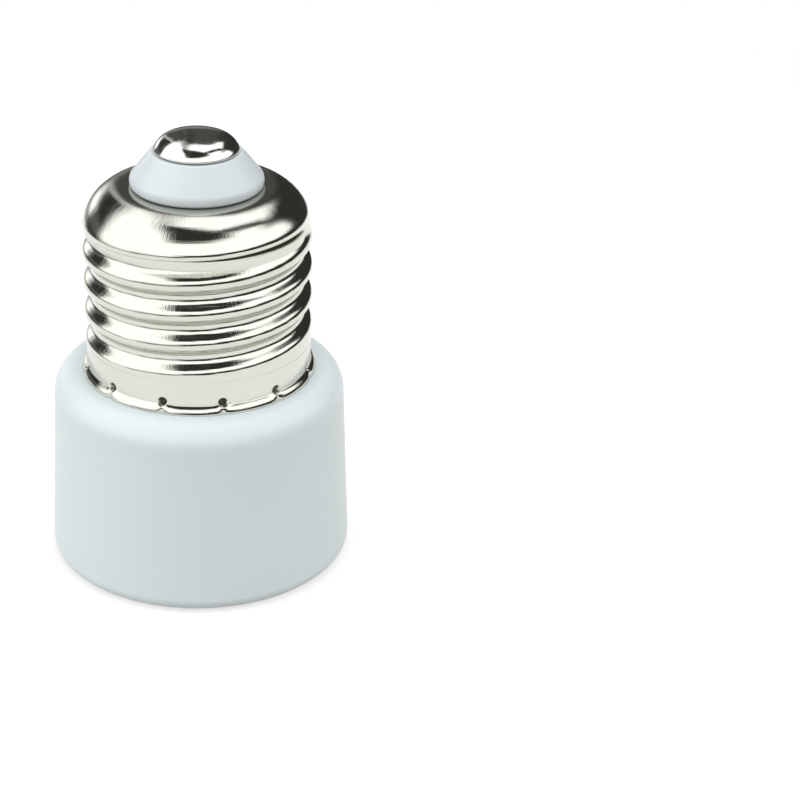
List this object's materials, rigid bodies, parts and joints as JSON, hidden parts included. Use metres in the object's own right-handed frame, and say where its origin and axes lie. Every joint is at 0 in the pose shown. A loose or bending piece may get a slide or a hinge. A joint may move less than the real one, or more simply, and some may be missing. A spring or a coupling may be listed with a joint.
{
  "type": "screw-base outlet adapter",
  "caption": "Adapter with an E27 screw base on a round white body and slots for a plug with flat blades or round pins in its face.",
  "frame": {"origin": "centre of the rim that the adapter stands on", "axes": "+Z along the axis, from the socket face up to the centre contact; the two pins lie along X"},
  "size_m": [0.0356, 0.0356, 0.0523],
  "materials": {
    "white_plastic": "moulded, satin",
    "nickel_plate": "nickel plated sheet, rolled and bright",
    "nose_plastic": "moulded, satin",
    "nickel_contact": "pressed, bright",
    "brass_strip": "rolled strip, slightly dulled",
    "zinc_steel": "zinc plated",
    "brown_cover": "extruded cover, tinned copper core",
    "blue_cover": "extruded cover, tinned copper core",
    "solder": "dull, frozen"
  },
  "bodies": {
    "root": {"housing": "white_plastic", "face_plate": "white_plastic", "screw_shell": "nickel_plate", "nose_insulator": "nose_plastic", "centre_contact": "nickel_contact", "live_clip": "brass_strip", "neutral_clip": "brass_strip", "clip_screws": "zinc_steel", "live_wire": "brown_cover", "neutral_wire": "blue_cover", "solder_joints": "solder"}
  },
  "joints": []
}
